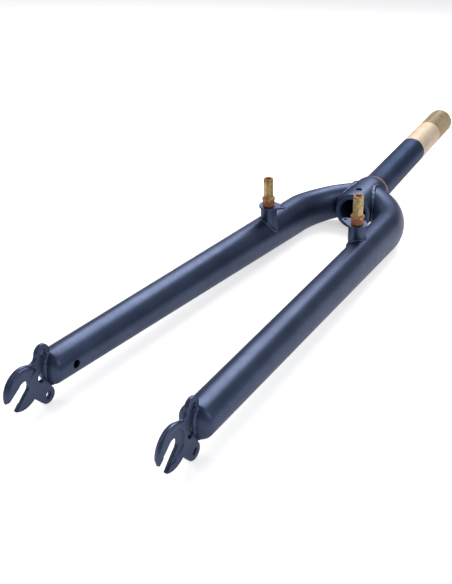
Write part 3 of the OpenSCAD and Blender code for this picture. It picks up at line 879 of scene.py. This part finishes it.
def paint():
    """Satin metallic paint: grazing edges held down, fine orange peel."""
    finish, nodes, links, shader = new_finish("satin_blue_paint")
    where = place(nodes, links)
    links.new(paint_colour(nodes, links, where), shader.inputs["Base Color"])
    shader.inputs["Metallic"].default_value = 0.85
    shader.inputs["Specular Tint"].default_value = (0.42, 0.42, 0.48, 1)
    soft = noise(nodes, links, where, 160, 3)
    links.new(span(nodes, links, soft, 0.3, 0.7, 0.40, 0.48), shader.inputs["Roughness"])
    shader.inputs["Coat Weight"].default_value = 0.3
    shader.inputs["Coat Roughness"].default_value = 0.34
    relief(nodes, links, noise(nodes, links, where, 900, 2), 0.10, 0.0002, shader)
    return finish


def crown_paint():
    """The same paint with a rusty line where the crown race sat."""
    finish, nodes, links, shader = new_finish("crown_paint")
    where = place(nodes, links)
    split = nodes.new("ShaderNodeSeparateXYZ")
    links.new(where, split.inputs[0])
    wander = noise(nodes, links, where, 260, 4, 0.7)
    shift = span(nodes, links, wander, 0.2, 0.8, -0.0009, 0.0009)
    height = sums(nodes, links, "ADD", split.outputs["Y"], shift)
    near = span(nodes, links, height, -0.0016, -0.0004)
    rust = blend_colours(nodes, links, noise(nodes, links, where, 420, 4, 0.7), RUST_DARK, (0.55, 0.27, 0.14))
    colour = blend_colours(nodes, links, near, paint_colour(nodes, links, where), rust)
    links.new(colour, shader.inputs["Base Color"])
    links.new(span(nodes, links, near, 0, 1, 0.85, 0.1), shader.inputs["Metallic"])
    links.new(span(nodes, links, near, 0, 1, 0.44, 0.75), shader.inputs["Roughness"])
    shader.inputs["Coat Weight"].default_value = 0.3
    shader.inputs["Coat Roughness"].default_value = 0.34
    shader.inputs["Specular Tint"].default_value = (0.42, 0.42, 0.48, 1)
    relief(nodes, links, noise(nodes, links, where, 900, 2), 0.10, 0.0002, shader)
    return finish


def steerer_finish():
    """Painted below, bare tan steel with stains above, darker brown on the thread."""
    finish, nodes, links, shader = new_finish("steerer_steel")
    where = place(nodes, links)
    split = nodes.new("ShaderNodeSeparateXYZ")
    links.new(where, split.inputs[0])
    wander = noise(nodes, links, where, 190, 5, 0.7)
    shift = span(nodes, links, wander, 0.2, 0.8, -0.0016, 0.0016)
    height = sums(nodes, links, "ADD", split.outputs["Y"], shift)
    bare = span(nodes, links, height, PAINT_TO * MM - 0.0004, PAINT_TO * MM + 0.0004)
    thread = span(nodes, links, height, THREAD_FROM * MM - 0.001, THREAD_FROM * MM + 0.002)
    stain = noise(nodes, links, where, 70, 5, 0.65)
    tan = ramp(nodes, links, stain, [(0.30, (0.46, 0.37, 0.27)), (0.50, (0.55, 0.45, 0.34)),
                                     (0.62, (0.58, 0.38, 0.24)), (0.74, (0.42, 0.20, 0.09))])
    brown = ramp(nodes, links, stain, [(0.30, (0.20, 0.155, 0.08)), (0.50, (0.40, 0.32, 0.21)),
                                       (0.66, (0.27, 0.20, 0.11)), (0.80, (0.25, 0.11, 0.045))])
    metal = blend_colours(nodes, links, thread, tan, brown)
    links.new(blend_colours(nodes, links, bare, paint_colour(nodes, links, where), metal),
              shader.inputs["Base Color"])
    links.new(span(nodes, links, bare, 0, 1, 0.85, 0.35), shader.inputs["Metallic"])
    links.new(span(nodes, links, bare, 0, 1, 0.44, 0.55), shader.inputs["Roughness"])
    shader.inputs["Specular Tint"].default_value = (0.5, 0.5, 0.5, 1)
    relief(nodes, links, noise(nodes, links, where, 700, 4, 0.7), 0.25, 0.0002, shader)
    return finish


def stud_finish():
    """Dull yellow zinc with rust spreading from the foot, the flange and the end."""
    finish, nodes, links, shader = new_finish("rusty_zinc")
    where = place(nodes, links)
    split = nodes.new("ShaderNodeSeparateXYZ")
    links.new(where, split.inputs[0])
    up = split.outputs["Z"]
    face = BOSS[2] * MM
    low = span(nodes, links, up, face + 0.001, face + 0.012, 0.34, 0.0)
    tip = span(nodes, links, up, face + 0.021, face + 0.0245, 0.0, 0.22)
    blots = noise(nodes, links, where, 330, 5, 0.65)
    spread = sums(nodes, links, "ADD", blots, sums(nodes, links, "ADD", low, tip))
    streaks = noise(nodes, links, where, 900, 3, 0.6)
    zinc = ramp(nodes, links, streaks, [(0.30, (0.20, 0.15, 0.06)), (0.50, (0.36, 0.27, 0.12)),
                                        (0.72, (0.52, 0.42, 0.24))])
    rust = blend_colours(nodes, links, streaks, RUST_DARK, RUST)
    rusty = span(nodes, links, spread, 0.54, 0.72)
    links.new(blend_colours(nodes, links, rusty, zinc, rust), shader.inputs["Base Color"])
    links.new(span(nodes, links, rusty, 0, 1, 0.75, 0.05), shader.inputs["Metallic"])
    links.new(span(nodes, links, rusty, 0, 1, 0.42, 0.85), shader.inputs["Roughness"])
    relief(nodes, links, blots, 0.35, 0.0003, shader)
    return finish


def floor_finish():
    """Plain white that keeps shadows: diffuse, with a glow for what looks at it directly."""
    finish, nodes, links, shader = new_finish("white_floor")
    nodes.remove(shader)
    output = nodes["Material Output"]
    diffuse = nodes.new("ShaderNodeBsdfDiffuse")
    diffuse.inputs["Color"].default_value = (0.80, 0.795, 0.79, 1)
    glow = nodes.new("ShaderNodeEmission")
    path = nodes.new("ShaderNodeLightPath")
    seen = sums(nodes, links, "MAXIMUM", path.outputs["Is Camera Ray"],
                sums(nodes, links, "MAXIMUM", path.outputs["Is Glossy Ray"],
                     path.outputs["Is Transmission Ray"]))
    links.new(sums(nodes, links, "MULTIPLY", seen, FLOOR_GLOW), glow.inputs["Strength"])
    both = nodes.new("ShaderNodeAddShader")
    links.new(diffuse.outputs[0], both.inputs[0])
    links.new(glow.outputs[0], both.inputs[1])
    links.new(both.outputs[0], output.inputs["Surface"])
    return finish


def studio():
    """White floor, a pale world, a large lamp beyond the fork and two weak fills."""
    mesh = bpy.data.meshes.new("floor")
    corners = [(x * FLOOR_HALF, y * FLOOR_HALF, FLOOR_Z) for x, y in ((-1, -1), (1, -1), (1, 1), (-1, 1))]
    mesh.from_pydata(corners, [], [(0, 1, 2, 3)])
    floor = new_object("floor", mesh)
    mesh.materials.append(floor_finish())
    world = bpy.data.worlds.new("studio")
    bpy.context.scene.world = world
    world.use_nodes = True
    world.node_tree.nodes["Background"].inputs["Color"].default_value = (0.86, 0.88, 0.92, 1)
    world.node_tree.nodes["Background"].inputs["Strength"].default_value = 0.42
    lamp("softbox", (-0.35, 0.75, 1.15), (0.0, -0.15, 0.0), 1.3, 0.8, 26)
    lamp("fill_left", (-1.3, -0.6, 0.8), (0.0, -0.2, 0.0), 0.8, 0.8, 5)
    lamp("fill_right", (1.3, -0.3, 0.9), (0.0, -0.2, 0.0), 1.2, 0.9, 8)


def lamp(name, at, towards, width, height, power):
    """Rectangular area lamp at a place, aimed at a point."""
    light = bpy.data.lights.new(name, "AREA")
    light.shape = "RECTANGLE"
    light.size, light.size_y, light.energy = width, height, power
    obj = new_object(name, light)
    back = np.array(at, float) - np.array(towards, float)
    back /= np.linalg.norm(back)
    right = np.cross([0, 0, 1], back)
    right /= np.linalg.norm(right)
    set_place(obj, at, right, np.cross(back, right), back)


def set_place(obj, at, x, y, z):
    """World matrix from three directions and a place."""
    m = Matrix.Identity(4)
    for i in range(3):
        m[i][0], m[i][1], m[i][2], m[i][3] = x[i], y[i], z[i], at[i]
    obj.matrix_world = m


def camera():
    """The photograph's view: place and directions in the fork's own directions."""
    data = bpy.data.cameras.new("camera")
    data.sensor_fit = "VERTICAL"
    data.sensor_height = SENSOR
    data.lens = FOCAL_PX * SENSOR / FRAME_H_PX
    data.clip_start, data.clip_end = 0.02, 50
    obj = new_object("camera", data)
    bpy.context.scene.camera = obj
    right, ahead = lay(CAMERA_RIGHT) / MM, lay(CAMERA_LOOKS) / MM
    right /= np.linalg.norm(right)
    ahead -= right * (ahead @ right)
    ahead /= np.linalg.norm(ahead)
    set_place(obj, lay(CAMERA_AT), right, np.cross(right, ahead), -ahead)


camera()
studio()
bpy.context.scene.view_settings.view_transform = "Standard"
finishes = {"paint": paint(), "crown": crown_paint(), "steerer": steerer_finish(), "stud": stud_finish()}

steerer()
sleeve()
for side, mirror in (("left", False), ("right", True)):
    blade(side + "_blade_skin", mirror)
    crown_weld(side + "_crown_weld_bead", mirror)
    dropout_weld(side + "_dropout_weld_bead", mirror)
    brake_boss(side + "_brake_boss_forged", mirror)
    boss_weld(side + "_boss_weld_bead", mirror)
    brake_stud(side + "_brake_stud_turned", mirror)
    dropout(side + "_dropout_forged", mirror)
